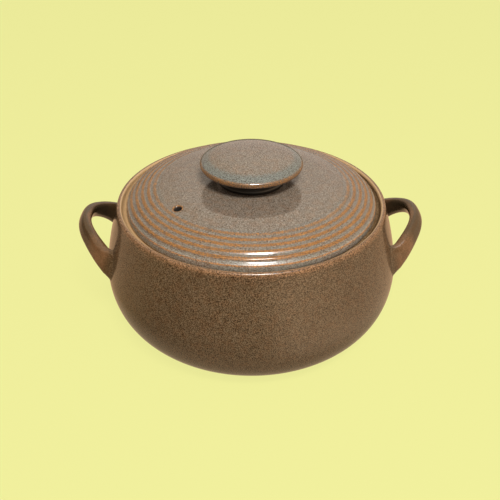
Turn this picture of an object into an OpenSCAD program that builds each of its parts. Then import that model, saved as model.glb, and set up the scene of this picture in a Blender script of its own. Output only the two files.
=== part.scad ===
// Lidded stoneware casserole dish. The pot has a round belly, a ledge inside its rim, a turned
// foot ring and two strap handles luted to its shoulder. The ridged lid, with its vent and disc
// knob, rests on the ledge. Sizes are in millimetres, heights are above the table.

/* [Pot] */
// Height of the pot from the table to the top of its rim
pot_h = 103.5; // [90:0.5:125]
// Diameter at which the shoulder reaches the height of the rim
rim_d = 203.4; // [190:0.2:214]
// Diameter at the widest part of the belly
belly_d = 229.6; // [222:0.2:250]
// Height of the widest part of the belly
belly_z = 49.5; // [42:0.5:58]
// Thickness of the wall
wall_t = 6.5; // [5:0.25:8]
// Thickness of the floor
floor_t = 7; // [5:0.5:10]
// How the shoulder curves in to the rim: 1 is straight, 2 is a parabola
shoulder_curve = 1.45; // [1.3:0.05:2]
// How full the lower belly is: 2 is an ellipse, more is squarer
belly_curve = 2.27; // [2:0.01:2.8]

/* [Foot ring] */
// Outer diameter of the foot ring
foot_d = 144; // [120:1:160]
// Height of the foot ring
foot_h = 2.5; // [1.5:0.1:5]
// Width of the foot ring
foot_w = 7; // [5:0.5:12]
// How far the inner face of the foot ring leans, for wiping the glaze off it
foot_lean = 1.2; // [0.4:0.1:2]

/* [Rim and ledge] */
// Radius of the rounded lip on top of the rim
lip_r = 1.9; // [1.5:0.1:2.3]
// Width of the cove between the lip and the ledge
cove_w = 3.8; // [2.5:0.1:4.5]
// Depth of the ledge below the top of the rim
ledge_drop = 6; // [5:0.25:9]
// Width of the ledge
ledge_w = 8; // [7:0.25:10]
// Thickness of the ledge at its inner edge
ledge_t = 5; // [4:0.25:7]
// Rounding of the ledge's inner edge
ledge_round = 1.6; // [0.6:0.1:1.8]

/* [Handles] */
// Room for a finger between the widest part of the belly and the strap at the top of the loop
finger_gap = 9.95; // [8:0.05:20]
// Angle round the pot from the middle of a handle to each of its roots
root_angle = 19; // [16:0.5:24]
// Depth of the middle of a root below the rim
root_drop = 38.5; // [34:0.5:44]
// How far the loop rises from its roots to its outermost point
handle_rise = 21; // [12:0.5:26]
// How square the loop is in plan: 2 is a parabola, more is blunter
handle_bow = 2.4; // [2:0.1:3.2]
// Width of the strap at its roots
strap_w_root = 24.5; // [20:0.5:27]
// Width of the strap at the top of the loop
strap_w_top = 13.5; // [11:0.5:17]
// Thickness of the strap at its roots
strap_t_root = 6.6; // [5.5:0.1:9]
// Thickness of the strap at the top of the loop
strap_t_top = 8.5; // [7:0.1:11]
// How far the strap leans in to the pot at its roots
strap_lean_root = 6; // [0:1:15]
// How far the strap leans in to the pot at the top of the loop
strap_lean_top = 28; // [10:1:40]
// How square the strap's section is: 2 is an oval
strap_square = 2.7; // [2:0.1:4]
// How far the clay is thumbed out round each root
root_flare = 5; // [3:0.25:6.5]

/* [Lid] */
// Gap between the edge of the lid and the inside of the lip
lid_gap = 3.4; // [2.5:0.1:4.5]
// Radius of the lid's rounded edge where it turns under to its seat
lid_edge_r = 3.2; // [2.5:0.1:4]
// Height of the dome above the lid's edge
dome_h = 19.8; // [15:0.2:26]
// How flat the dome is: 2 is an ellipse, more is flatter
dome_curve = 2.6; // [2.2:0.1:3.2]
// Thickness of the lid's wall
lid_t = 6; // [5:0.25:7]
// Radius of the hollow corner between the lid's underside and the locating ring
under_round = 4.2; // [2:0.1:5]
// Height of the locating ring below the lid's seat
guide_h = 7; // [5:0.25:10]
// Thickness of the locating ring
guide_t = 5.2; // [4:0.2:7]
// Gap between the locating ring and the ledge
guide_gap = 1.4; // [0.8:0.1:2.5]

/* [Ridges] */
// Number of ridges round the lid
ridge_count = 6; // [3:1:7]
// Distance from one ridge to the next along the dome
ridge_pitch = 4.9; // [4:0.05:5.2]
// Distance along the dome from the lid's edge to the crest of the outermost ridge
ridge_edge = 3.3; // [2.8:0.1:5]
// Height of a crest above the groove beside it
ridge_h = 0.9; // [0.4:0.05:1.4]
// Height of the innermost ridge as a share of the others
inner_ridge = 0.5; // [0:0.05:1]

/* [Vent] */
// Diameter of the steam vent
vent_d = 5.4; // [4:0.1:7]
// Distance of the vent from the lid's axis
vent_out = 66.5; // [58:0.5:67.5]
// Angle of the vent round the lid, from the right-hand handle
vent_angle = 217; // [0:1:359]
// Width of the softened edge round the vent
vent_edge = 1.2; // [0.5:0.1:1.6]

/* [Knob] */
// Diameter of the knob
knob_d = 76.8; // [64:0.2:86]
// Height of the knob's widest part above the top of the dome
knob_lift = 9.6; // [8:0.1:14]
// Height of the knob's crown above its widest part
crown_h = 9.8; // [6:0.1:13]
// How flat the crown is: 2 is an ellipse, more is flatter
crown_curve = 2.2; // [2:0.1:2.8]
// Depth of the knob's rounded edge below its widest part
knob_edge = 3; // [2:0.1:4]
// Diameter of the neck
neck_d = 46; // [36:1:54]
// Radius of the fillet between the neck and the dome
neck_fillet = 2; // [1:0.25:3]

/* [Hidden] */

// Steps of an outline's curves, of a ridge, of a small round, and of a handle
CURVE_STEPS = 10;
DOME_STEPS = 240;
RIDGE_STEPS = 6;
ROUND_STEPS = 5;
STRAP_RINGS = 20;
ROOT_RINGS = 5;
STRAP_SIDES = 16;
TURN_STEPS = 120;
VENT_STEPS = 32;

// Radii of the pot
rim_r = rim_d / 2;
belly_r = belly_d / 2;
foot_r = foot_d / 2;
floor_z = foot_h + floor_t;
shoulder_h = pot_h - belly_z;

// The lip is a round bead tangent to the shoulder
lip_slope = atan((belly_r - rim_r) * shoulder_curve / shoulder_h);
lip_z = pot_h - lip_r;
lip_start_z = lip_z + lip_r * sin(lip_slope);
lip_centre_r = wall_r(lip_start_z) - lip_r * cos(lip_slope);
lip_in_r = lip_centre_r - lip_r;

// The ledge that carries the lid
ledge_z = pot_h - ledge_drop;
ledge_out_r = lip_in_r - cove_w;
ledge_in_r = ledge_out_r - ledge_w;
under_z = ledge_z - ledge_t;
ledge_foot_z = under_z - (shoulder_in_r(under_z) - ledge_in_r);

// The lid is tied to the rim and its ledge
lid_r = lip_in_r - lid_gap;
edge_z = ledge_z + lid_edge_r;
dome_top_z = edge_z + dome_h;
guide_r = ledge_in_r - guide_gap;
guide_in_r = guide_r - guide_t;
guide_round = guide_t / 2;
guide_z = ledge_z - guide_h;

// The knob
knob_r = knob_d / 2;
knob_z = dome_top_z + knob_lift;
neck_r = neck_d / 2;
throat_w = knob_r - knob_edge - neck_r;

// The handle's root on the wall, and how obliquely the strap meets it there
root_z = pot_h - root_drop;
root = on_wall(root_angle, root_z, 0);
handle_reach = belly_r + finger_gap + strap_t_top / 2;
handle_run = handle_reach - root[0];
root_heading = atan2(handle_run * handle_bow, root[1]);
root_skew = cos(root_heading - root_angle);
root_sink = wall_t / 2;

// Depth of the edge of the thumbed clay under the wall's surface, and the share of a half loop
// at which the strap starts to widen into its root
root_skin = 0.5;
strap_end = 0.8;

// Outside radius of the pot at a height
function wall_r(z) = z > belly_z
    ? belly_r - (belly_r - rim_r) * pow((z - belly_z) / shoulder_h, shoulder_curve)
    : foot_r + (belly_r - foot_r)
        * pow(1 - pow(min(1, (belly_z - z) / (belly_z - foot_h)), belly_curve), 1 / belly_curve);

// Inside radius of the pot above the belly
function shoulder_in_r(z) = wall_r(z) - wall_t;

// Point on the outside of the pot, or sunk below it
function on_wall(a, z, sink) =
    [(wall_r(z) - sink) * cos(a), (wall_r(z) - sink) * sin(a), z];

// A power that keeps the sign, for squared-off ovals
function spow(v, e) = sign(v) * pow(abs(v), e);

// Points of an elliptical arc in an outline
function arc(c, rx, rz, a0, a1, steps) =
    [for (i = [0:steps]) let (a = a0 + (a1 - a0) * i / steps) c + [rx * cos(a), rz * sin(a)]];

// Lower quarter of a belly, from its widest point to its base
function lower(r_out, r_in, z_base) =
    [for (i = [0:CURVE_STEPS]) let (a = 90 * i / CURVE_STEPS, e = 2 / belly_curve)
        [r_in + (r_out - r_in) * spow(cos(a), e), belly_z - (belly_z - z_base) * spow(sin(a), e)]];

// Outside of the pot, from the lip down to the table
function pot_outside() = concat(
    arc([lip_centre_r, lip_z], lip_r, lip_r, 180, lip_slope, 2 * ROUND_STEPS),
    [for (i = [1:CURVE_STEPS]) let (z = lip_start_z + (belly_z - lip_start_z) * i / CURVE_STEPS)
        [wall_r(z), z]],
    [for (p = lower(belly_r, foot_r, foot_h)) if (p[1] < belly_z) p],
    [[foot_r, 0], [foot_r - foot_w, 0], [foot_r - foot_w - foot_lean, foot_h], [0, foot_h]]);

// Inside of the pot, from the middle of the floor up to the ledge and its cove
function pot_inside() = let (
    bowl = lower(belly_r - wall_t, foot_r - wall_t, floor_z),
    under_r = shoulder_in_r(ledge_foot_z)) concat(
    [[0, floor_z]],
    [for (i = [len(bowl) - 1:-1:0]) bowl[i]],
    [for (i = [1:CURVE_STEPS]) let (z = belly_z + (ledge_foot_z - belly_z) * i / CURVE_STEPS)
        [shoulder_in_r(z), z]],
    [for (i = [1:ROUND_STEPS]) let (f = i / ROUND_STEPS)
        [under_r + (ledge_in_r + ledge_round - under_r) * (1 - cos(90 * f)),
         ledge_foot_z + (under_z - ledge_foot_z) * sin(90 * f)]],
    arc([ledge_in_r + ledge_round, under_z + ledge_round], ledge_round, ledge_round,
        -90, -180, ROUND_STEPS),
    arc([ledge_in_r + ledge_round, ledge_z - ledge_round], ledge_round, ledge_round,
        180, 90, ROUND_STEPS),
    arc([ledge_out_r, lip_z], cove_w, lip_z - ledge_z, -90, 0, ROUND_STEPS));

// Middle line of a strap handle: t runs from -1 at one root to 1 at the other
function bow(t) = 1 - pow(abs(t), handle_bow);
function strap_path(t) =
    [root[0] + handle_run * bow(t), root[1] * t, root[2] + handle_rise * bow(t)];

// Level direction square to the strap, pointing away from the pot
function strap_out(t) = let (
    v = [root[1], handle_run * handle_bow * spow(t, handle_bow - 1)]) v / norm(v);

// Squared oval of the strap's section
function oval(j) = let (a = 360 * j / STRAP_SIDES, e = 2 / strap_square)
    [spow(cos(a), e), spow(sin(a), e)];

// Point of the strap's surface
function strap_point(t, j) = let (
    g = bow(t),
    o = strap_out(t),
    lean = strap_lean_root + (strap_lean_top - strap_lean_root) * g,
    a = oval(j)[0] * (strap_t_root + (strap_t_top - strap_t_root) * g) / 2,
    b = oval(j)[1] * (strap_w_root + (strap_w_top - strap_w_root) * g) / 2,
    level = a * cos(lean) - b * sin(lean))
    strap_path(t) + [o[0] * level, o[1] * level, a * sin(lean) + b * cos(lean)];

// Point of a root's outline on the wall, spread by the thumbed-out clay
function root_point(side, j, spread, sink) = let (
    across = oval(j)[0] * (strap_t_root / 2 / root_skew + spread),
    z = root_z + oval(j)[1] * (strap_w_root / 2 + spread))
    on_wall(side * (root_angle + across / root[0] * cos(root_angle) * 180 / PI), z, sink);

// Ring of a root: f runs from 0 at the strap to 1 at the wall, along a curve that ends on it
function root_ring(side, f) = [for (j = [0:STRAP_SIDES - 1])
    strap_point(side * strap_end, j) * pow(1 - f, 2)
    + root_point(side, j, 0, 0) * 2 * f * (1 - f)
    + root_point(side, j, root_flare, root_skin) * pow(f, 2)];

// All rings of a handle, from below the skin of the wall at one root to the same at the other
function handle_rings() = concat(
    [[for (j = [0:STRAP_SIDES - 1]) root_point(-1, j, root_flare, root_sink)]],
    [for (i = [ROOT_RINGS:-1:1]) root_ring(-1, i / ROOT_RINGS)],
    [for (i = [0:STRAP_RINGS]) let (t = strap_end * (2 * i / STRAP_RINGS - 1))
        [for (j = [0:STRAP_SIDES - 1]) strap_point(t, j)]],
    [for (i = [1:ROOT_RINGS]) root_ring(1, i / ROOT_RINGS)],
    [[for (j = [0:STRAP_SIDES - 1]) root_point(1, j, root_flare, root_sink)]]);

// Middle of a ring of points
function middle(ring) = [for (p = ring) 1] * ring / len(ring);

// Faces between one ring and the next, and the two caps round their middle points
function handle_faces(n) = concat(
    [for (i = [0:n - 2], j = [0:STRAP_SIDES - 1]) let (
        k = (j + 1) % STRAP_SIDES,
        a = i * STRAP_SIDES,
        b = a + STRAP_SIDES) each [[a + j, b + k, b + j], [a + j, a + k, b + k]]],
    [for (j = [0:STRAP_SIDES - 1]) [n * STRAP_SIDES, (j + 1) % STRAP_SIDES, j]],
    [for (j = [0:STRAP_SIDES - 1]) let (a = (n - 1) * STRAP_SIDES)
        [n * STRAP_SIDES + 1, a + j, a + (j + 1) % STRAP_SIDES]]);

// Height of the dome's outside at a distance from the axis
function dome_z(r) = edge_z + dome_h * sqrt(1 - pow(r / lid_r, dome_curve));

// The dome from the lid's edge to its middle, and the way along it to each of its points
dome_line = [for (i = [0:DOME_STEPS]) let (a = 90 * i / DOME_STEPS)
    [lid_r * spow(cos(a), 2 / dome_curve), edge_z + dome_h * sin(a)]];
dome_way = [for (i = 0, s = 0; i <= DOME_STEPS;
    s = s + norm(dome_line[min(i + 1, DOME_STEPS)] - dome_line[i]), i = i + 1) s];
way_r = [for (i = [0:DOME_STEPS]) [dome_way[i], dome_line[i][0]]];
way_z = [for (i = [0:DOME_STEPS]) [dome_way[i], dome_line[i][1]]];
function on_dome(s) = [lookup(s, way_r), lookup(s, way_z)];
function dome_out(s) = let (
    d = on_dome(s + ridge_pitch / RIDGE_STEPS) - on_dome(max(0, s - ridge_pitch / RIDGE_STEPS)))
    [d[1], -d[0]] / norm(d);

// The ridges run from half a pitch outside the first crest to half a pitch inside the last,
// which is a lower one
ridge_start = ridge_edge - ridge_pitch / 2;
ridge_end = ridge_start + ridge_count * ridge_pitch;
function ridge_crest(s) = s > ridge_end - ridge_pitch ? ridge_h * inner_ridge : ridge_h;
function ridge_rise(s) = ridge_crest(s) * (1 - cos(360 * (s - ridge_start) / ridge_pitch)) / 2;

// Underside of the lid, from its middle to the bottom of the locating ring and up to the seat
function lid_inside() = let (
    corner_r = guide_in_r - under_round,
    corner_z = dome_z(corner_r) - lid_t) concat(
    [for (i = [0:CURVE_STEPS]) let (r = corner_r * i / CURVE_STEPS) [r, dome_z(r) - lid_t]],
    arc([corner_r, corner_z - under_round], under_round, under_round, 90, 0, ROUND_STEPS),
    arc([guide_r - guide_round, guide_z + guide_round], guide_round, guide_round,
        -180, 0, 2 * ROUND_STEPS),
    [[guide_r, ledge_z]]);

// Outside of the lid, from its seat round the edge and over the ridges to the neck
function lid_outside() = let (foot = neck_r + neck_fillet, foot_z = dome_z(foot)) concat(
    arc([lid_r - lid_edge_r, edge_z], lid_edge_r, lid_edge_r, -90, 0, ROUND_STEPS),
    [for (i = [0:ridge_count * RIDGE_STEPS]) let (s = ridge_start + ridge_pitch * i / RIDGE_STEPS)
        on_dome(s) + dome_out(s) * ridge_rise(s)],
    [for (i = [1:CURVE_STEPS - 1]) let (r = on_dome(ridge_end)[0],
        x = r + (foot - r) * i / CURVE_STEPS) [x, dome_z(x)]],
    arc([foot, foot_z + neck_fillet], neck_fillet, neck_fillet, -90, -180, ROUND_STEPS));

// Outside of the knob, up the throat, round the edge and over the crown
function knob_outside() = let (
    throat_z = dome_z(neck_r + neck_fillet) + neck_fillet,
    throat_h = knob_z - knob_edge - throat_z) concat(
    [for (i = [1:CURVE_STEPS - 1]) let (a = 90 * i / CURVE_STEPS)
        [neck_r + throat_w * (1 - cos(a)), throat_z + throat_h * sin(a)]],
    arc([knob_r - knob_edge, knob_z], knob_edge, knob_edge, -90, 0, ROUND_STEPS),
    [for (i = [1:CURVE_STEPS]) let (a = 90 * i / CURVE_STEPS)
        [knob_r * spow(cos(a), 2 / crown_curve), knob_z + crown_h * sin(a)]]);

// One strap handle on the side of the first root
module handle() {
    rings = handle_rings();
    n = len(rings);
    polyhedron(
        points = concat([for (ring = rings) each ring], [middle(rings[0]), middle(rings[n - 1])]),
        faces = handle_faces(n));
}

// The pot, thrown as one wall, with its two handles
module pot() color([0.36, 0.28, 0.19]) {
    rotate_extrude($fn = TURN_STEPS) polygon(concat(pot_outside(), pot_inside()));
    for (side = [0, 1]) mirror([side, 0, 0]) handle();
}

// The steam vent, pierced square to the dome, with a softened upper edge
module vent() {
    slope = atan2(dome_z(vent_out - vent_d / 2) - dome_z(vent_out + vent_d / 2), vent_d);
    rotate(vent_angle) translate([vent_out, 0, dome_z(vent_out)]) rotate([0, slope, 0]) {
        translate([0, 0, -2 * lid_t]) cylinder(d = vent_d, h = 3 * lid_t, $fn = VENT_STEPS);
        translate([0, 0, -vent_edge])
            cylinder(d1 = vent_d, d2 = vent_d + 4 * vent_edge, h = 2 * vent_edge, $fn = VENT_STEPS);
    }
}

// The lid, with its ridges, locating ring, vent and knob
module lid() color([0.50, 0.41, 0.34]) difference() {
    rotate_extrude($fn = TURN_STEPS)
        polygon(concat(lid_inside(), lid_outside(), knob_outside()));
    vent();
}

pot();
lid();
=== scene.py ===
import math

import bmesh
import bpy
import numpy as np
from mathutils import Matrix


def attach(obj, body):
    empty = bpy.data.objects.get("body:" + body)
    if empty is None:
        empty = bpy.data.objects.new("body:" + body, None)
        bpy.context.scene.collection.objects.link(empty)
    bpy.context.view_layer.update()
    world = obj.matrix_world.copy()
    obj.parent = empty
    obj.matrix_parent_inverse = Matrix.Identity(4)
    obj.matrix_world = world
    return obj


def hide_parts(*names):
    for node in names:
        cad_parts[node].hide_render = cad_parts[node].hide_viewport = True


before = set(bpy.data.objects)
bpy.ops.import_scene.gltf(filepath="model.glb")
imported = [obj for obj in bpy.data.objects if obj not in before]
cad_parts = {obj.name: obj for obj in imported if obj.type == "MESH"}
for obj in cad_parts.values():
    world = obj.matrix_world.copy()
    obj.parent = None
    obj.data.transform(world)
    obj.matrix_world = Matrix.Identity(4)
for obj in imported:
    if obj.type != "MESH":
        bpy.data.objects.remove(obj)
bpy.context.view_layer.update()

# Sizes are in millimetres, as in the part's source. Meshes are made in millimetres and
# written in metres.
MM = 0.001
POT_H, RIM_D, BELLY_D, BELLY_Z = 103.5, 203.4, 229.6, 49.5
WALL_T, FLOOR_T, SHOULDER_CURVE, BELLY_CURVE = 6.5, 7.0, 1.45, 2.27
FOOT_D, FOOT_H, FOOT_W, FOOT_LEAN = 144.0, 2.5, 7.0, 1.2
LIP_R, COVE_W, LEDGE_DROP, LEDGE_W, LEDGE_T, LEDGE_ROUND = 1.9, 3.8, 6.0, 8.0, 5.0, 1.6
FINGER_GAP, ROOT_ANGLE, ROOT_DROP = 9.95, 19.0, 38.5
HANDLE_RISE, HANDLE_BOW = 21.0, 2.4
STRAP_W_ROOT, STRAP_W_TOP, STRAP_T_ROOT, STRAP_T_TOP = 24.5, 13.5, 6.6, 8.5
LEAN_ROOT, LEAN_TOP, STRAP_SQUARE, ROOT_FLARE = 6.0, 28.0, 2.5, 1.6
ROOT_SKIN, STRAP_END, UNDER_TRIM, REAR_DEPTH, ROOT_BULGE = 0.5, 0.93, 0.2, 0.6, 0.45
LID_GAP, LID_EDGE_R, DOME_H, DOME_CURVE = 3.4, 3.2, 19.8, 2.6
LID_T, UNDER_ROUND, GUIDE_H, GUIDE_T, GUIDE_GAP = 6.0, 4.2, 7.0, 5.2, 1.4
RIDGE_COUNT, RIDGE_PITCH, RIDGE_EDGE, RIDGE_H, END_RIDGE = 6, 4.85, 3.4, 0.5, 0.6
VENT_D, VENT_OUT, VENT_ANGLE, VENT_EDGE = 5.4, 66.5, 217.0, 1.2
KNOB_D, KNOB_LIFT, CROWN_H, CROWN_CURVE, KNOB_EDGE = 76.8, 10.9, 8.5, 2.2, 2.2
NECK_D, NECK_FILLET = 46.0, 2.0
FLAT_R, FLAT_BLEND = 61.5, 7.0

RIM_R, BELLY_R, FOOT_R, KNOB_R, NECK_R, VENT_R = (
    d / 2 for d in (RIM_D, BELLY_D, FOOT_D, KNOB_D, NECK_D, VENT_D))
SHOULDER_H = POT_H - BELLY_Z
HANDLE_REACH = BELLY_R + FINGER_GAP + STRAP_T_TOP / 2
FLOOR_Z = FOOT_H + FLOOR_T

# The visual is a hair slimmer than the solids, so that it stays inside their box
SLIM = 0.99985

# Steps of the meshes: about the axis, along a curve and a small round, about a strap, along
# it and along its root, over a ridge, and about the vent
TURN, CURVE, ROUND = 200, 48, 10
SIDES, STRAP_RINGS, ROOT_RINGS = 56, 110, 22
RIDGE_STEPS, VENT_SIDES = 16, 64
# Vertices closer than this many metres are one, and an edge above this many degrees is sharp
MERGE, SHARP = 2e-6, 42


def rad(a):
    return math.radians(a)


def wall_r(z):
    """Outside radius of the pot at a height."""
    z = np.asarray(z, float)
    up = np.clip((z - BELLY_Z) / SHOULDER_H, 0, None)
    down = np.clip((BELLY_Z - z) / (BELLY_Z - FOOT_H), 0, 1)
    high = BELLY_R - (BELLY_R - RIM_R) * up ** SHOULDER_CURVE
    low = FOOT_R + (BELLY_R - FOOT_R) * (1 - down ** BELLY_CURVE) ** (1 / BELLY_CURVE)
    return np.where(z > BELLY_Z, high, low)


def spow(v, e):
    """A power that keeps the sign, for rounded squares."""
    return np.sign(v) * np.abs(v) ** e


def smooth(a, b, x):
    """0 at a, 1 at b and smooth between them. Either may be the greater."""
    t = np.clip((np.asarray(x, float) - a) / (b - a), 0, 1)
    return t * t * (3 - 2 * t)


def arc(c, rx, rz, a0, a1, steps):
    """An arc about c in an outline, between two angles in degrees."""
    a = np.radians(np.linspace(a0, a1, steps + 1))
    return np.stack([c[0] + rx * np.cos(a), c[1] + rz * np.sin(a)], 1)


def rounded(corner, before, after, r):
    """A small quarter round at a corner of an outline, between its two neighbours."""
    corner, before, after = (np.array(p, float) for p in (corner, before, after))
    a = (before - corner) / np.linalg.norm(before - corner)
    b = (after - corner) / np.linalg.norm(after - corner)
    t = np.linspace(0, 1, ROUND // 2 + 1)[:, None]
    return (1 - t) ** 2 * (corner + a * r) + 2 * t * (1 - t) * corner + t ** 2 * (corner + b * r)


# The lip and the ledge
LIP_SLOPE = math.degrees(math.atan((BELLY_R - RIM_R) * SHOULDER_CURVE / SHOULDER_H))
LIP_Z = POT_H - LIP_R
LIP_START_Z = LIP_Z + LIP_R * math.sin(rad(LIP_SLOPE))
LIP_C = float(wall_r(LIP_START_Z)) - LIP_R * math.cos(rad(LIP_SLOPE))
LIP_IN_R = LIP_C - LIP_R
LEDGE_Z = POT_H - LEDGE_DROP
LEDGE_OUT_R = LIP_IN_R - COVE_W
LEDGE_IN_R = LEDGE_OUT_R - LEDGE_W
UNDER_Z = LEDGE_Z - LEDGE_T
LEDGE_FOOT_Z = UNDER_Z - (float(wall_r(UNDER_Z)) - WALL_T - LEDGE_IN_R)

# The lid and the knob
LID_R = LIP_IN_R - LID_GAP
EDGE_Z = LEDGE_Z + LID_EDGE_R
DOME_TOP_Z = EDGE_Z + DOME_H
GUIDE_R = LEDGE_IN_R - GUIDE_GAP
GUIDE_IN_R = GUIDE_R - GUIDE_T
GUIDE_Z = LEDGE_Z - GUIDE_H
KNOB_Z = DOME_TOP_Z + KNOB_LIFT


def dome_z(r):
    """Height of the lid's top: a dome outside the flat's edge, which levels out inside it."""
    r = np.asarray(r, float)
    edge = (FLAT_R / LID_R) ** DOME_CURVE
    slope = DOME_H * DOME_CURVE * edge / FLAT_R / 2 / math.sqrt(1 - edge)
    inward = np.clip(FLAT_R - r, 0, FLAT_BLEND)
    return (EDGE_Z + DOME_H * np.sqrt(1 - (np.maximum(r, FLAT_R) / LID_R) ** DOME_CURVE)
            + slope * inward * (1 - inward / FLAT_BLEND / 2))


# ---------------------------------------------------------------- meshes


class Parts:
    """Collects vertices, faces and per-vertex marks of one piece: glaze, painted light and
    painted shade.
    """

    def __init__(self, marks):
        self.v, self.f, self.n = [], [], 0
        self.marks = {m: [] for m in marks}

    def grid(self, pts, marks, closed=False, keep=None):
        """Rows of points. A mark is a number, one for each row, or an array for all points."""
        rows, cols = pts.shape[:2]
        k = self.n + np.arange(rows * cols).reshape(rows, cols)
        nxt = np.roll(k, -1, 1) if closed else k[:, 1:]
        cur = k if closed else k[:, :-1]
        quads = np.stack([cur[:-1], nxt[:-1], nxt[1:], cur[1:]], -1).reshape(-1, 4)
        flat = pts.reshape(-1, 3)
        if keep is not None:
            quads = quads[keep(flat[quads - self.n].mean(1))]
        self.v.append(flat)
        self.f.append(quads)
        for m, values in self.marks.items():
            val = np.asarray(marks.get(m, 0.0), float)
            if val.ndim == 1:
                val = val[:, None]
            values.append(np.broadcast_to(val, (rows, cols)).reshape(-1))
        self.n += rows * cols

    def build(self, name):
        """One object of all the grids, which are joined where they meet."""
        mesh = bpy.data.meshes.new(name)
        v = np.concatenate(self.v) * (MM * SLIM, MM * SLIM, MM)
        f = np.concatenate(self.f)
        mesh.vertices.add(len(v))
        mesh.vertices.foreach_set("co", v.astype(np.float32).ravel())
        mesh.loops.add(f.size)
        mesh.loops.foreach_set("vertex_index", f.astype(np.int32).ravel())
        mesh.polygons.add(len(f))
        mesh.polygons.foreach_set("loop_start", np.arange(0, f.size, 4, dtype=np.int32))
        for m, vals in self.marks.items():
            at = mesh.attributes.new(m, "FLOAT", "POINT")
            at.data.foreach_set("value", np.concatenate(vals).astype(np.float32))
        mesh.update(calc_edges=True)
        mesh.validate()
        bm = bmesh.new()
        bm.from_mesh(mesh)
        bmesh.ops.remove_doubles(bm, verts=bm.verts, dist=MERGE)
        bm.to_mesh(mesh)
        bm.free()
        mesh.polygons.foreach_set("use_smooth", np.ones(len(mesh.polygons), bool))
        mesh.set_sharp_from_angle(angle=rad(SHARP))
        ob = bpy.data.objects.new(name, mesh)
        bpy.context.scene.collection.objects.link(ob)
        return ob


def turned(line, angles):
    """An outline of (radius, height) turned about Z through these angles, in degrees."""
    a = np.radians(angles)
    r, z = line[:, 0][:, None], line[:, 1][:, None]
    return np.stack([r * np.cos(a), r * np.sin(a), np.broadcast_to(z, (len(line), len(a)))], -1)


def even(n):
    """Angles about Z in even steps, in degrees."""
    return np.arange(n) * 360.0 / n


# ---------------------------------------------------------------- the pot

FOOT_ROUND, HOLLOW_ROUND = 0.9, 0.6
# The thrown curve's ends, which the wall and the foot have already, are left out of it
LOW_TOP, LOW_END = 0.01, 0.3
# How much cream and tan show on the lip, and how much tan on the wall just below it
LIP_CREAM, LIP_TAN, WALL_TAN = 0.9, 0.62, 0.55
# The cove's cream is painted darker on the right, as painted shade where it faces away from
# the light, and it is tan near the lip
COVE_RIGHT_SHADE, COVE_TAN = 0.58, 0.4


def pot_wall(parts):
    """The thrown wall: lip, shoulder, belly and foot, then floor, bowl, ledge and cove."""
    e = 2 / BELLY_CURVE
    a = np.radians(np.linspace(0, 90, CURVE + 1))
    low = np.stack([FOOT_R + (BELLY_R - FOOT_R) * spow(np.cos(a), e),
                    BELLY_Z - (BELLY_Z - FOOT_H) * spow(np.sin(a), e)], 1)
    low = low[(low[:, 1] < BELLY_Z - LOW_TOP) & (low[:, 1] > FOOT_H + LOW_END)]
    z = np.linspace(LIP_START_Z, BELLY_Z, CURVE + 1)[1:]
    foot = [(FOOT_R, FOOT_H), (FOOT_R, 0), (FOOT_R - FOOT_W, 0),
            (FOOT_R - FOOT_W - FOOT_LEAN, FOOT_H), (0, FOOT_H)]
    lip = arc((LIP_C, LIP_Z), LIP_R, LIP_R, 180, LIP_SLOPE, 2 * ROUND)
    outside = np.concatenate([
        lip, np.stack([wall_r(z), z], 1), low, [foot[0]],
        rounded(foot[1], foot[0], foot[2], FOOT_ROUND),
        rounded(foot[2], foot[1], foot[3], FOOT_ROUND),
        rounded(foot[3], foot[2], foot[4], HOLLOW_ROUND), [foot[4]]])
    n = len(lip)
    run = np.arange(len(outside))
    cream = np.where(run < n, smooth(n * 0.6, n * 0.3, run) * LIP_CREAM, 0.0)
    tan = np.where(run < n, LIP_TAN, smooth(n + 2.0, n - 1, run) * WALL_TAN)
    bare = smooth(0.6, 0.2, outside[:, 1])
    parts.grid(turned(outside, even(TURN)), {"cream": cream, "warm": tan, "bare": bare},
               closed=True)

    bowl = np.stack([FOOT_R - WALL_T + (BELLY_R - FOOT_R) * spow(np.cos(a), e),
                     BELLY_Z - (BELLY_Z - FLOOR_Z) * spow(np.sin(a), e)], 1)[::-1]
    z = np.linspace(BELLY_Z, LEDGE_FOOT_Z, CURVE // 2 + 1)[1:]
    q = np.radians(np.linspace(0, 90, ROUND + 1))[1:]
    under_r = float(wall_r(LEDGE_FOOT_Z)) - WALL_T
    mid = LEDGE_IN_R + LEDGE_ROUND
    under = np.stack([under_r + (mid - under_r) * (1 - np.cos(q)),
                      LEDGE_FOOT_Z + (UNDER_Z - LEDGE_FOOT_Z) * np.sin(q)], 1)
    inside = np.concatenate([
        [(0, FLOOR_Z)], bowl, np.stack([wall_r(z) - WALL_T, z], 1), under,
        arc((mid, UNDER_Z + LEDGE_ROUND), LEDGE_ROUND, LEDGE_ROUND, -90, -180, ROUND)[1:],
        arc((mid, LEDGE_Z - LEDGE_ROUND), LEDGE_ROUND, LEDGE_ROUND, 180, 90, ROUND),
        arc((LEDGE_OUT_R, LIP_Z), COVE_W, LIP_Z - LEDGE_Z, -90, 0, ROUND)])
    r, z = inside[:, 0], inside[:, 1]
    tan = smooth(LIP_Z - 2.2, LIP_Z, z) * smooth(LEDGE_OUT_R, LIP_IN_R, r) * COVE_TAN
    cove = smooth(LEDGE_OUT_R - 4, LEDGE_OUT_R, r) * (z > UNDER_Z)
    # Painted shade: the cove is darker on the right side of the pot
    right = smooth(-0.75, -0.1, np.cos(np.radians(even(TURN))))
    parts.grid(turned(inside, even(TURN)),
               {"cream": 1 - COVE_RIGHT_SHADE * cove[:, None] * right, "warm": tan}, closed=True)


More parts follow.
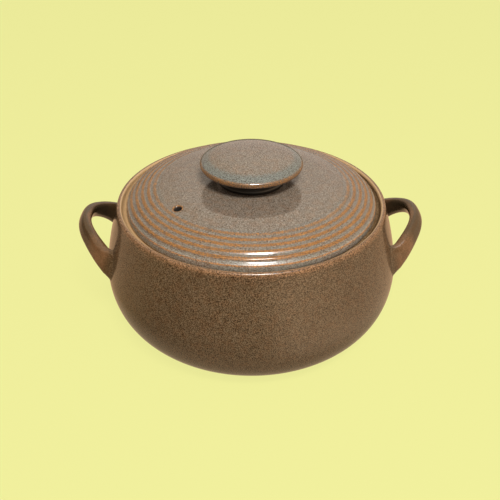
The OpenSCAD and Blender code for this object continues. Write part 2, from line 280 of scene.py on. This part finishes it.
ROOT_Z = POT_H - ROOT_DROP
ROOT_R = float(wall_r(ROOT_Z))
ROOT_X, ROOT_Y = ROOT_R * math.cos(rad(ROOT_ANGLE)), ROOT_R * math.sin(rad(ROOT_ANGLE))
HANDLE_RUN = HANDLE_REACH - ROOT_X
ROOT_HEADING = math.degrees(math.atan2(HANDLE_RUN * HANDLE_BOW, ROOT_Y))
ROOT_SKEW = math.cos(rad(ROOT_HEADING - ROOT_ANGLE))
OVAL_A = np.radians(np.linspace(0, 360, SIDES, endpoint=False))
OVAL = spow(np.stack([np.cos(OVAL_A), np.sin(OVAL_A)], 1), 2 / STRAP_SQUARE)


def strap_ring(t):
    """A ring of the right strap, at t from -1 at its near root to 1 at its far one."""
    g = 1 - abs(t) ** HANDLE_BOW
    mid = np.array([ROOT_X + HANDLE_RUN * g, ROOT_Y * t, ROOT_Z + HANDLE_RISE * g])
    o = np.array([ROOT_Y, HANDLE_RUN * HANDLE_BOW * float(spow(t, HANDLE_BOW - 1))])
    o = o / np.linalg.norm(o)
    lean = rad(LEAN_ROOT + (LEAN_TOP - LEAN_ROOT) * g)
    a = OVAL[:, 0] * (STRAP_T_ROOT + (STRAP_T_TOP - STRAP_T_ROOT) * g) / 2
    a = np.where(a > 0, a * (1 + ROOT_BULGE * smooth(0.55, 0.88, abs(t))), a)
    b = OVAL[:, 1] * (STRAP_W_ROOT + (STRAP_W_TOP - STRAP_W_ROOT) * g) / 2
    under = 1 - UNDER_TRIM * min(1, 2 * g) + REAR_DEPTH * max(0, t) ** 4
    b = np.where(b < 0, b * under, b)
    level = a * math.cos(lean) - b * math.sin(lean)
    up = a * math.sin(lean) + b * math.cos(lean)
    return mid + np.stack([o[0] * level, o[1] * level, up], 1)


def root_ring(side, spread, sink):
    """A strap's outline on the wall at its root, spread out and sunk into the wall."""
    across = OVAL[:, 0] * (STRAP_T_ROOT / 2 / ROOT_SKEW + spread)
    b = OVAL[:, 1] * (STRAP_W_ROOT / 2 + spread)
    z = ROOT_Z + np.where((b < 0) & (side > 0), b * (1 + REAR_DEPTH), b)
    ang = side * (rad(ROOT_ANGLE) + across / ROOT_X * math.cos(rad(ROOT_ANGLE)))
    r = wall_r(z) - sink
    return np.stack([r * np.cos(ang), r * np.sin(ang), z], 1)


def join_ring(side, f):
    """A ring between the strap's end, where f is 0, and its flare on the wall, where f is 1."""
    return (strap_ring(side * STRAP_END) * (1 - f) ** 2 + root_ring(side, 0, 0) * 2 * f * (1 - f)
            + root_ring(side, ROOT_FLARE, ROOT_SKIN) * f ** 2)


# How strong the straps' marks are: tan on the upper and the lower edge and on the near root,
# which is also painted lighter there as painted light, cool on the outer side, and painted
# shade on the near part, all over the rear and on its inner side
EDGE_TAN, LOW_TAN, ROOT_TAN_AND_LIGHT, OUTER_COOL, STRAP_CALM = 0.55, 0.45, 0.54, 0.45, 0.85
NEAR_SHADE, REAR_SHADE, INNER_SHADE = 0.15, 0.25, 0.55


def handle(parts, mirror):
    """The right strap, or the left one as its mirror image, with both roots."""
    f = np.linspace(0, 1, ROOT_RINGS + 1)[1:]
    t = np.linspace(-STRAP_END, STRAP_END, STRAP_RINGS + 1)
    pts = np.array([join_ring(-1, x) for x in f[::-1]] + [strap_ring(x) for x in t]
                   + [join_ring(1, x) for x in f])
    root = STRAP_END + f * (1 - STRAP_END)
    way = np.concatenate([-root[::-1], t, root])[:, None]
    across, height = OVAL.T
    if mirror:
        pts = (pts * np.array([-1, 1, 1]))[:, ::-1]
        across, height = across[::-1], height[::-1]
    # Where a point lies: along the strap from the top of its loop, and about it
    along, rear = np.abs(way), smooth(0.0, 0.35, way)
    top_edge = smooth(0.35, 1.0, height) * smooth(0.9, -0.3, across)
    low_edge = smooth(0.75, 1.0, -height)
    outer = smooth(0.2, 0.9, across) * smooth(0.98, 0.4, np.abs(height + 0.1))
    inner = smooth(0.0, -0.6, across)
    # The glaze breaks to tan on the edges and on the near root, where light is also painted; the
    # rear is painted darker, as painted shade
    fade = smooth(1.0, 0.75, along)
    edges = (top_edge * EDGE_TAN + low_edge * LOW_TAN) * fade
    # Painted light: the near root's tan also lightens it where light falls on it
    lit_near_root = ROOT_TAN_AND_LIGHT * (1 - rear) * smooth(0.45, 0.8, along) * smooth(1.0, 0.93, along)
    # Painted shade: a little on the near arm's upper part, more on the rear arm, most on its
    # inner side and lower edge
    shade = (NEAR_SHADE * (1 - rear) * smooth(0.8, 0.3, along)
             + rear * (REAR_SHADE + INNER_SHADE * np.maximum(inner, low_edge)))
    parts.grid(pts, {"warm": np.maximum(edges, lit_near_root),
                     "cool": outer * fade * OUTER_COOL,
                     "calm": STRAP_CALM * smooth(1.0, 0.94, along),
                     "painted_shade": shade * smooth(1.0, 0.6, along)}, closed=True)


pot_parts = Parts(("cream", "warm", "cool", "bare", "painted_shade", "calm"))
pot_wall(pot_parts)
for mirrored in (False, True):
    handle(pot_parts, mirrored)
pot = pot_parts.build("pot_body")

# ---------------------------------------------------------------- the lid

# The dome's outline from its edge to its top, and the way along it
DOME_STEPS = 1200
DOME_A = np.radians(np.linspace(0, 90, DOME_STEPS + 1))
DOME_LINE = np.stack([LID_R * spow(np.cos(DOME_A), 2 / DOME_CURVE),
                      EDGE_Z + DOME_H * np.sin(DOME_A)], 1)
DOME_WAY = np.concatenate([[0], np.cumsum(np.linalg.norm(np.diff(DOME_LINE, axis=0), axis=1))])


def on_dome(s):
    """Points on the dome's outline, at distances from its edge."""
    return np.stack([np.interp(s, DOME_WAY, DOME_LINE[:, 0]),
                     np.interp(s, DOME_WAY, DOME_LINE[:, 1])], -1)


RIDGE_START = RIDGE_EDGE - RIDGE_PITCH / 2
RIDGE_END = RIDGE_START + RIDGE_COUNT * RIDGE_PITCH
# How strong the lid's marks are: tan on the ridges' crests, on the first one, and what the last
# one has of it; cool on the edge, in the grooves and beside the last ridge; and on the knob,
# whose edge also has painted shade
CREST_TAN, FIRST_TAN, LAST_SHARE = 0.8, 0.55, 0.62
EDGE_COOL, GROOVE_COOL, FLAT_COOL = 0.5, 0.32, 0.4
KNOB_TAN, KNOB_COOL, KNOB_SHADE = 0.65, 0.85, 0.42


def lid_outline():
    """The lid's outside with its marks: crests are warm and grooves cool."""
    s = RIDGE_START + RIDGE_PITCH * np.arange(RIDGE_COUNT * RIDGE_STEPS + 1) / RIDGE_STEPS
    d = on_dome(s + RIDGE_PITCH / 8) - on_dome(np.maximum(0, s - RIDGE_PITCH / 8))
    d /= np.linalg.norm(d, axis=1)[:, None]
    first, last = s < RIDGE_START + RIDGE_PITCH, s > RIDGE_END - RIDGE_PITCH
    crest = np.where(first | last, RIDGE_H * END_RIDGE, RIDGE_H)
    wave = (1 - np.cos(2 * np.pi * (s - RIDGE_START) / RIDGE_PITCH)) / 2
    ridges = on_dome(s) + np.stack([d[:, 1], -d[:, 0]], 1) * (crest * wave)[:, None]
    edge = arc((LID_R - LID_EDGE_R, EDGE_Z), LID_EDGE_R, LID_EDGE_R, -90, 0, ROUND)
    foot = NECK_R + NECK_FILLET
    r = np.linspace(ridges[-1, 0], foot, 3 * CURVE // 2)[1:-1]
    flat = np.stack([r, dome_z(r)], 1)
    foot_z = float(dome_z(foot))
    fillet = arc((foot, foot_z + NECK_FILLET), NECK_FILLET, NECK_FILLET, -90, -180, ROUND)
    q = np.radians(np.linspace(0, 90, CURVE // 2 + 1))[1:-1]
    throat_z = foot_z + NECK_FILLET
    throat = np.stack([NECK_R + (KNOB_R - KNOB_EDGE - NECK_R) * (1 - np.cos(q)),
                       throat_z + (KNOB_Z - KNOB_EDGE - throat_z) * np.sin(q)], 1)
    rim = arc((KNOB_R - KNOB_EDGE, KNOB_Z), KNOB_EDGE, KNOB_EDGE, -90, 0, ROUND)
    q = np.radians(np.linspace(0, 90, CURVE + 1))[1:]
    crown = np.stack([KNOB_R * spow(np.cos(q), 2 / CROWN_CURVE),
                      KNOB_Z + CROWN_H * np.sin(q)], 1)

    # The outline's stretches, and their marks where they have any
    stretches = {"edge": edge, "ridges": ridges, "flat": flat, "fillet": fillet,
                 "throat": throat, "rim": rim, "crown": crown}
    band = smooth(0.3, 0.8, wave) * CREST_TAN * np.where(last, LAST_SHARE, 1)
    band = np.where(first, smooth(0.75, 1.0, wave) * FIRST_TAN, band)
    groove = np.where(first, EDGE_COOL, GROOVE_COOL * (1 - smooth(0.1, 0.4, wave)))
    knob_edge = smooth(0.95, 1.0, crown[:, 0] / KNOB_R)
    knob_ring = (smooth(0.72, 0.9, crown[:, 0] / KNOB_R)
                 * smooth(0.99, 0.95, crown[:, 0] / KNOB_R))
    up_throat = np.arange(len(throat)) / len(throat)
    marks = {
        "warm": {"ridges": band, "rim": smooth(0, ROUND, np.arange(len(rim))) * KNOB_TAN,
                 "crown": knob_edge * KNOB_TAN},
        "cool": {"edge": EDGE_COOL, "ridges": groove,
                 "flat": smooth(2.5, 0.5, ridges[-1, 0] - flat[:, 0]) * FLAT_COOL,
                 "throat": EDGE_COOL, "crown": knob_ring * KNOB_COOL},
        # Painted light: the edge band is lightened with cream, most at its lower side
        "cream": {"edge": np.linspace(0.6, 0.1, len(edge))},
        # Painted shade under the knob: on the neck's fillet, up the throat and on the knob's
        # edge
        "painted_shade": {"fillet": 1.0, "throat": smooth(1.0, 0.75, up_throat), "rim": KNOB_SHADE,
                 "crown": knob_edge * KNOB_SHADE},
        # The edge band and the first ridge are less shiny and painted lighter, as painted light
        "rough_and_painted_light": {"edge": 1.0, "ridges": smooth(6.0, 4.5, s)}}

    def along_line(values):
        return np.concatenate([np.broadcast_to(values.get(part, 0.0), len(points))
                               for part, points in stretches.items()])

    return (np.concatenate(list(stretches.values())),
            {mark: along_line(values) for mark, values in marks.items()})


def lid_under():
    """The lid's underside: the dome's hollow, the locating ring and the seat."""
    corner_r = GUIDE_IN_R - UNDER_ROUND
    corner_z = float(dome_z(corner_r)) - LID_T
    r = np.linspace(0, corner_r, CURVE)
    g = GUIDE_T / 2
    return np.concatenate([
        np.stack([r, dome_z(r) - LID_T], 1),
        arc((corner_r, corner_z - UNDER_ROUND), UNDER_ROUND, UNDER_ROUND, 90, 0, ROUND)[1:],
        arc((GUIDE_R - g, GUIDE_Z + g), g, g, -180, 0, 2 * ROUND),
        [(GUIDE_R, LEDGE_Z), (LID_R - LID_EDGE_R, LEDGE_Z)]])


# The vent's own frame: its middle on the dome, the way down the slope, across, and square to it
VENT_C = np.array([VENT_OUT * math.cos(rad(VENT_ANGLE)), VENT_OUT * math.sin(rad(VENT_ANGLE)),
                   float(dome_z(VENT_OUT))])
VENT_SLOPE = math.atan2(float(dome_z(VENT_OUT - VENT_R) - dome_z(VENT_OUT + VENT_R)), VENT_D)
VENT_TURN = np.array(Matrix.Rotation(rad(VENT_ANGLE), 3, "Z")
                     @ Matrix.Rotation(VENT_SLOPE, 3, "Y"))
# The vent is a patch of its own, a hair proud of the lid and larger than the hole in it
PATCH_R, HOLE_R, PATCH_LIFT = VENT_D + 0.5, VENT_D - 0.9, 0.02
# The bore ends this much above the lid's underside, which starts this much outside it
BORE_UP, BORE_OUT = 0.4, 0.3
# Tan about the vent and in its bore, and the painted shade of its edge and its bore
VENT_TAN, BORE_TAN, VENT_SHADE = 0.85, 0.6, 0.9
# The lid's mesh is finer about the vent: this many degrees to each side, in so many steps
VENT_SPAN, VENT_STEPS = 6, 30


def away_from_vent(p):
    """Whether points are off the hole for the patch. The knob above it counts as off."""
    local = (p - VENT_C) @ VENT_TURN
    return (np.hypot(local[:, 0], local[:, 1]) > HOLE_R) | (p[:, 2] > DOME_TOP_Z)


def vent(parts):
    """The rounded edge of the vent, laid over the dome's slope, its bore and its rim inside."""
    phi = np.radians(even(VENT_SIDES))

    def ring(r, h=0.0):
        local = np.stack([r * np.cos(phi), r * np.sin(phi), np.full(VENT_SIDES, h)], 1)
        return VENT_C + local @ VENT_TURN.T

    def dome_ring(r, lift):
        p = ring(r)
        p[:, 2] = dome_z(np.hypot(p[:, 0], p[:, 1])) + lift
        return p

    q = np.radians(np.linspace(9, 90, ROUND))
    around = np.linspace(PATCH_R, VENT_R + VENT_EDGE, 8)
    rho = np.concatenate([around, VENT_R + VENT_EDGE * (1 - np.sin(q))])
    drop = np.concatenate([np.zeros(len(around)), VENT_EDGE * (1 - np.cos(q))])
    rows = [dome_ring(r, PATCH_LIFT) - VENT_TURN[:, 2] * h for r, h in zip(rho, drop)]
    rows += [ring(VENT_R, h) for h in np.linspace(-VENT_EDGE, BORE_UP - LID_T, 6)[1:]]
    rows += [dome_ring(r, -LID_T - PATCH_LIFT)
             for r in np.linspace(VENT_R + BORE_OUT, PATCH_R, 5)]
    below = len(rows) - len(rho)
    warm = np.append(smooth(VENT_R + 1.8, VENT_R + 0.9, rho) * VENT_TAN,
                     np.full(below, BORE_TAN))
    cream = np.append(np.zeros(len(rho)), np.linspace(-1, 1, below))
    # Painted shade: darker at the hole's edge and all down the bore
    painted_shade = np.append(smooth(VENT_R + 0.7, VENT_R + 0.1, rho) * VENT_SHADE, np.ones(below))
    parts.grid(np.array(rows), {"warm": warm, "cream": cream, "painted_shade": painted_shade}, closed=True)


lid_parts = Parts(("cream", "warm", "cool", "painted_shade", "rough_and_painted_light"))
lid_line, lid_marks = lid_outline()
lid_angles = VENT_ANGLE + np.concatenate([
    np.linspace(-VENT_SPAN, VENT_SPAN, VENT_STEPS + 1),
    np.linspace(VENT_SPAN, 360 - VENT_SPAN, TURN - 10)[1:-1]])
lid_parts.grid(turned(lid_line, lid_angles), lid_marks, closed=True, keep=away_from_vent)
lid_parts.grid(turned(lid_under(), lid_angles), {"cream": 1.0}, closed=True,
               keep=away_from_vent)
vent(lid_parts)
lid = lid_parts.build("lid_body")

# ---------------------------------------------------------------- materials


class Nodes:
    """A short way to write the nodes of a material or of the world."""

    def __init__(self, tree):
        self.tree = tree

    def add(self, kind, **props):
        n = self.tree.nodes.new("ShaderNode" + kind)
        for k, v in props.items():
            setattr(n, k, v)
        return n

    def put(self, socket, value):
        if isinstance(value, bpy.types.NodeSocket):
            self.tree.links.new(value, socket)
        elif socket.type == "RGBA":
            socket.default_value = (*value, 1)
        else:
            socket.default_value = value

    def math(self, op, a, b):
        n = self.add("Math", operation=op)
        self.put(n.inputs[0], a)
        self.put(n.inputs[1], b)
        return n.outputs[0]

    def plus(self, a, b):
        return self.math("ADD", a, b)

    def times(self, a, b):
        return self.math("MULTIPLY", a, b)

    def mix(self, f, a, b, blend="MIX"):
        n = self.add("Mix", data_type="RGBA", blend_type=blend, clamp_factor=True)
        self.put(n.inputs[0], f)
        self.put(n.inputs[6], a)
        self.put(n.inputs[7], b)
        return n.outputs[2]

    def step(self, x, lo, hi, out_lo=0.0, out_hi=1.0):
        n = self.add("MapRange", interpolation_type="SMOOTHSTEP", clamp=True)
        for i, v in enumerate((x, lo, hi, out_lo, out_hi)):
            self.put(n.inputs[i], v)
        return n.outputs[0]

    def ramp(self, x, stops):
        """A colour that changes along x from -1 to 1, through these stops."""
        n = self.add("ValToRGB")
        for i, (at, colour) in enumerate(stops):
            at = (at + 1) / 2
            e = n.color_ramp.elements[i] if i < 2 else n.color_ramp.elements.new(at)
            e.position, e.color = at, (*colour, 1)
        self.put(n.inputs[0], self.plus(self.times(x, 0.5), 0.5))
        return n.outputs[0]

    def noise(self, where, scale, detail=1.0, rough=0.5):
        n = self.add("TexNoise", noise_dimensions="3D")
        for socket, value in (("Vector", where), ("Scale", scale), ("Detail", detail),
                              ("Roughness", rough)):
            self.put(n.inputs[socket], value)
        return n.outputs["Fac"]

    def mark(self, name):
        return self.add("Attribute", attribute_name=name).outputs["Fac"]

    def xyz(self, vector):
        n = self.add("SeparateXYZ")
        self.put(n.inputs[0], vector)
        return n.outputs


def new_material(name):
    """An empty material, its nodes, and the socket that its surface goes into."""
    mat = bpy.data.materials.new(name)
    mat.use_nodes = True
    mat.node_tree.nodes.clear()
    k = Nodes(mat.node_tree)
    return mat, k, k.add("OutputMaterial").inputs["Surface"]


def srgb(r, g, b):
    """A colour written as in an image, 0 to 255, as the linear one that a shader takes."""
    out = []
    for c in (r, g, b):
        c = c / 255
        out.append(c / 12.92 if c <= 0.04045 else ((c + 0.055) / 1.055) ** 2.4)
    return tuple(out)


# Scales of the glaze's noises: grain, grit, orange peel, patches and clouds
FINE, GRIT, PEEL, PATCH, CLOUD = 3000.0, 1750.0, 170.0, 210.0, 55.0
# The shares of grain and grit in the specks, and where these go over to light and to dark
FINE_SHARE, GRIT_SHARE, TO_LIGHT, TO_DARK = 0.35, 0.65, (0.49, 0.56), (0.49, 0.42)
# Where a mark goes over into its own tones, and how far grit and clouds move that edge
MARK_EDGE, GRIT_MOVE, CLOUD_MOVE, CREAM_MOVE = (0.3, 0.75), 2.2, 0.5, 0.25
# Where plain tones go over to ruddy ones, and cream to its specks
TO_RUDDY, TO_SPECK = (0.46, 0.62), (0.62, 0.74)
CREAM, CREAM_SPECK = srgb(206, 170, 124), srgb(172, 134, 90)
BARE = srgb(176, 140, 104)
# Tints of the ruddy patches and of the painted light on the lid's edge band, which is also less
# shiny
RUDDY, PAINTED_LIGHT_TINT, SOFTER = (1.05, 0.96, 0.90), (1.35, 1.25, 1.17), 0.16
# The pot's glaze turns a little tan towards its rim
RIM_FADE, RIM_TAN = ((POT_H - 12) * MM, (POT_H - 2) * MM), 0.18
PEEL_STRENGTH, PEEL_DEPTH, PEEL_GRIT = 0.12, 0.0004, 0.35
SHINE, GLAZE_IOR = (0.09, 0.15), 1.55


def glaze(name, grains, warm_grains, cool_grains, painted_shade_tone, rim_band):
    """A speckled stoneware glaze: three tones in grains, which break to warm and cool ones."""
    mat, k, surface = new_material(name)
    where = k.add("TexCoord").outputs["Object"]
    grit = k.noise(where, GRIT)
    speck = k.plus(k.times(k.noise(where, FINE), FINE_SHARE), k.times(grit, GRIT_SHARE))
    busy = k.math("SUBTRACT", 1.0, k.mark("calm"))
    light = k.times(k.step(speck, *TO_LIGHT), busy)
    dark = k.times(k.step(speck, *TO_DARK), busy)

    def tones(t):
        return k.mix(dark, k.mix(light, t[1], t[2]), t[0])

    # The marks' edges wander with the grain and with the clouds
    jitter = k.times(k.times(k.math("SUBTRACT", grit, 0.5), GRIT_MOVE), busy)
    cloud = k.math("SUBTRACT", k.noise(where, CLOUD, 2.0), 0.5)
    wander = k.plus(jitter, k.times(cloud, CLOUD_MOVE))
    warm = k.mark("warm")
    if rim_band:
        rim = k.step(k.xyz(where)["Z"], *RIM_FADE, 0.0, RIM_TAN)
        warm = k.math("MAXIMUM", warm, rim)
    cool_f = k.step(k.plus(k.mark("cool"), wander), *MARK_EDGE)
    # Specks break the edges of a warm band, and hardly show outside it
    broken = k.times(wander, k.step(warm, 0.0, 0.3, 0.45, 1.3))
    warm_f = k.step(k.plus(warm, broken), *MARK_EDGE)
    cream_f = k.step(k.plus(k.mark("cream"), k.times(wander, CREAM_MOVE)), *MARK_EDGE)
    patchy = k.step(k.noise(where, PATCH, 2.0, 0.6), *TO_RUDDY)
    colour = k.mix(patchy, tones(grains), k.mix(1.0, tones(grains), RUDDY, "MULTIPLY"))
    colour = k.mix(cool_f, colour, tones(cool_grains))
    colour = k.mix(warm_f, colour, tones(warm_grains))
    # Painted light: the lid's edge band is lightened by a tint
    colour = k.mix(k.mark("rough_and_painted_light"), colour, k.mix(1.0, colour, PAINTED_LIGHT_TINT, "MULTIPLY"))
    # Painted shade: what is marked for it goes over to a dark tone
    colour = k.mix(k.mark("painted_shade"), colour, painted_shade_tone)
    colour = k.mix(k.mark("bare"), colour, BARE)
    cream = k.mix(k.step(grit, *TO_SPECK), CREAM, CREAM_SPECK)
    colour = k.mix(cream_f, colour, cream)

    bump = k.add("Bump")
    k.put(bump.inputs["Strength"], PEEL_STRENGTH)
    k.put(bump.inputs["Distance"], PEEL_DEPTH)
    k.put(bump.inputs["Height"], k.plus(k.times(grit, PEEL_GRIT), k.noise(where, PEEL)))
    shader = k.add("BsdfPrincipled")
    k.put(shader.inputs["Base Color"], colour)
    k.put(shader.inputs["Roughness"], k.plus(k.step(speck, 0.3, 0.7, *SHINE),
                                             k.times(k.mark("rough_and_painted_light"), SOFTER)))
    k.put(shader.inputs["IOR"], GLAZE_IOR)
    k.put(shader.inputs["Normal"], bump.outputs["Normal"])
    k.put(surface, shader.outputs[0])
    return mat


# Each row of grains goes from dark to light: the plain glaze's, then the warm and the cool
pot_glaze = glaze(
    "pot_stoneware",
    (srgb(43, 24, 6), srgb(79, 58, 34), srgb(123, 102, 77)),
    (srgb(92, 54, 26), srgb(136, 95, 62), srgb(170, 130, 94)),
    (srgb(62, 54, 42), srgb(88, 78, 64), srgb(118, 106, 88)),
    painted_shade_tone=srgb(50, 43, 32), rim_band=True)
lid_glaze = glaze(
    "lid_stoneware",
    (srgb(80, 68, 55), srgb(116, 103, 90), srgb(154, 141, 126)),
    (srgb(82, 46, 20), srgb(140, 91, 43), srgb(180, 126, 68)),
    (srgb(68, 68, 64), srgb(103, 107, 101), srgb(136, 140, 133)),
    painted_shade_tone=srgb(54, 50, 47), rim_band=False)

for ob, mat, node in ((pot, pot_glaze, "pot"), (lid, lid_glaze, "lid")):
    ob.data.materials.append(mat)
    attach(ob, "root")
    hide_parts(node)

# ---------------------------------------------------------------- the stage

FLOOR_SIDE = 12.0
FLOOR_COLOUR = srgb(240, 239, 157)
BOUNCE_COLOUR = (0.42, 0.37, 0.31)
# The share of the floor's seen colour that doesn't depend on the light
GLOW = 0.93
# What the glaze mirrors of the floor, as painted reflection: beside the foot, where the pot's
# shadow is painted, behind, and far behind
FOOT_GLOSS, FAR_GLOSS = (0.56, 0.41, 0.24), (0.75, 0.46, 0.25)
BEHIND_GLOSS = (0.14, 0.10, 0.045)
# ... and in front, from the left to the right, brighter on the right as painted light
NEAR_GLOSS = (
    (-0.97, (0.55, 0.36, 0.16)), (-0.82, (0.28, 0.20, 0.10)), (-0.45, (0.38, 0.29, 0.17)),
    (0.05, (0.55, 0.43, 0.26)), (0.40, (1.45, 1.06, 0.66)), (0.70, (1.25, 0.90, 0.56)),
    (0.90, (0.90, 0.64, 0.40)))
# Where these go over into each other: metres from the middle, and parts of a direction
FOOT_REACH, TO_FAR, TO_BEHIND = (0.12, 0.17), (-0.4, 0.4), (0.7, 0.97)


def floor():
    """A plain pale floor. What the glaze mirrors of it glows with painted light and shade,
    duller in front than behind.
    """
    h = FLOOR_SIDE / 2
    mesh = bpy.data.meshes.new("floor")
    mesh.from_pydata([(-h, -h, 0), (h, -h, 0), (h, h, 0), (-h, h, 0)], [], [(0, 1, 2, 3)])
    ob = bpy.data.objects.new("floor", mesh)
    bpy.context.scene.collection.objects.link(ob)
    mat, k, surface = new_material("floor")
    path = k.add("LightPath")
    seen, mirrored = path.outputs["Is Camera Ray"], path.outputs["Is Glossy Ray"]
    lit = k.add("BsdfDiffuse")
    k.put(lit.inputs["Color"], k.mix(seen, BOUNCE_COLOUR, FLOOR_COLOUR))
    place = k.add("TexCoord").outputs["Object"]
    unit = k.add("VectorMath", operation="NORMALIZE")
    k.put(unit.inputs[0], place)
    way = k.xyz(unit.outputs[0])
    reach = k.add("VectorMath", operation="LENGTH")
    k.put(reach.inputs[0], place)
    near = k.mix(k.step(reach.outputs["Value"], *FOOT_REACH), FOOT_GLOSS,
                 k.ramp(way["X"], NEAR_GLOSS))
    tone = k.mix(k.step(way["Y"], *TO_FAR), near, FAR_GLOSS)
    tone = k.mix(k.step(way["Y"], *TO_BEHIND), tone, BEHIND_GLOSS)
    glow = k.add("Emission")
    k.put(glow.inputs["Color"], k.mix(seen, tone, FLOOR_COLOUR))
    both = k.add("MixShader")
    k.put(both.inputs[0], k.math("MAXIMUM", k.times(seen, GLOW), mirrored))
    k.put(both.inputs[1], lit.outputs[0])
    k.put(both.inputs[2], glow.outputs[0])
    k.put(surface, both.outputs[0])
    mesh.materials.append(mat)


floor()


def lamp(name, place, target, size, power, colour):
    """An oval lamp at a place, turned to a target. Places are in metres."""
    data = bpy.data.lights.new(name, "AREA")
    data.shape = "ELLIPSE"
    data.size, data.size_y = size
    data.energy = power
    data.color = colour
    ob = bpy.data.objects.new(name, data)
    z = np.array(place) - np.array(target)
    z /= np.linalg.norm(z)
    x = np.cross([0, 0, 1], z)
    x /= np.linalg.norm(x)
    aim = Matrix(np.stack([x, np.cross(z, x), z], 1).tolist()).to_4x4()
    aim.translation = place
    ob.matrix_world = aim
    bpy.context.scene.collection.objects.link(ob)


# A small bright oval in a large dim one, high in front of the object and a little to the right
LAMP_TARGET = (0, -0.09, 0.11)
LAMP_RISE, LAMP_TURN, LAMP_AWAY = 56.0, 10.0, 1.2
LAMP_COLOUR = (1.0, 0.97, 0.93)
# Their sizes in metres and their power in watts
STRIP, SCREEN = ((0.40, 0.17), 13.2), ((1.3, 0.42), 4.2)
lamp_flat = LAMP_AWAY * math.cos(rad(LAMP_RISE))
LAMP_PLACE = (lamp_flat * math.sin(rad(LAMP_TURN)),
              LAMP_TARGET[1] - lamp_flat * math.cos(rad(LAMP_TURN)),
              LAMP_TARGET[2] + LAMP_AWAY * math.sin(rad(LAMP_RISE)))
lamp("strip", LAMP_PLACE, LAMP_TARGET, *STRIP, LAMP_COLOUR)
lamp("screen", LAMP_PLACE, LAMP_TARGET, *SCREEN, LAMP_COLOUR)

# The studio has a ceiling, dim walls in front and on the left, and bright ones on the right
# and behind. The glaze mirrors a brighter ceiling than the one that lights it
CEILING, CEILING_SEEN = (0.15, 0.147, 0.145), (1.2, 1.05, 0.84)
DIM_WALL, RIGHT_WALL, BACK_WALL = (0.15, 0.125, 0.10), (1.1, 0.85, 0.62), (0.92, 0.76, 0.64)
# Where these go over into each other, as parts of a direction
TO_RIGHT, TO_BACK, WALL_TOP = (0.1, 0.9), (0.2, 0.9), (0.30, 0.62)
# What is mirrored is duller on the left and on the far right
SIDE_SHARE, DULL_LEFT, DULL_RIGHT = (0.82, 0.75, 0.65), (0.0, -0.3), (0.25, 0.55)


def studio():
    """The world's light, what the glaze mirrors of it, and the plain backdrop."""
    world = bpy.data.worlds.new("studio")
    bpy.context.scene.world = world
    world.use_nodes = True
    k = Nodes(world.node_tree)
    path = k.add("LightPath")
    mirrored = path.outputs["Is Glossy Ray"]
    way = k.xyz(k.add("TexCoord").outputs["Generated"])
    wall = k.mix(k.step(way["X"], *TO_RIGHT), DIM_WALL, RIGHT_WALL)
    wall = k.mix(k.step(way["Y"], *TO_BACK), wall, BACK_WALL)
    top = k.mix(mirrored, CEILING, CEILING_SEEN)
    tone = k.mix(k.step(way["Z"], *WALL_TOP), wall, top)
    sides = k.math("MAXIMUM", k.step(way["X"], *DULL_LEFT), k.step(way["X"], *DULL_RIGHT))
    tone = k.mix(k.times(sides, mirrored), tone, k.mix(1.0, tone, SIDE_SHARE, "MULTIPLY"))
    back = world.node_tree.nodes["Background"]
    k.put(back.inputs["Color"], k.mix(path.outputs["Is Camera Ray"], tone, FLOOR_COLOUR))


studio()

# ---------------------------------------------------------------- the camera

# The camera was fitted to the photograph: its distance and elevation from the middle of the
# rim, its pitch, its focal length in pixels of a 500 pixel frame, and the turn of the object
FRAME_PX, FOCAL_PX = 500, 607.65
RIM_DISTANCE, RIM_ELEVATION, PITCH, ROLL = 470.0, 29.08, 34.2, -0.0029
OBJECT_TURN, SIDE_STEP = 1.85, -0.9
SENSOR, CLIP = 36.0, (0.01, 50)

cam_data = bpy.data.cameras.new("camera")
cam_data.sensor_fit = "HORIZONTAL"
cam_data.sensor_width = SENSOR
cam_data.lens = FOCAL_PX / FRAME_PX * SENSOR
cam_data.clip_start, cam_data.clip_end = CLIP
camera = bpy.data.objects.new("camera", cam_data)
bpy.context.scene.collection.objects.link(camera)
place = np.array([SIDE_STEP, -RIM_DISTANCE * math.cos(rad(RIM_ELEVATION)),
                  RIM_DISTANCE * math.sin(rad(RIM_ELEVATION)) + POT_H]) * MM
ahead = np.array([0, math.cos(rad(PITCH)), -math.sin(rad(PITCH))])
up = np.array([0, math.sin(rad(PITCH)), math.cos(rad(PITCH))])
right = np.array([1.0, 0, 0])
up, right = (math.cos(ROLL) * up + math.sin(ROLL) * right,
             math.cos(ROLL) * right - math.sin(ROLL) * up)
turn = np.array(Matrix.Rotation(-rad(OBJECT_TURN), 3, "Z"))
basis = Matrix((turn @ np.stack([right, up, -ahead], 1)).tolist()).to_4x4()
basis.translation = (turn @ place).tolist()
camera.matrix_world = basis
bpy.context.scene.camera = camera
bpy.context.scene.view_settings.view_transform = "Standard"
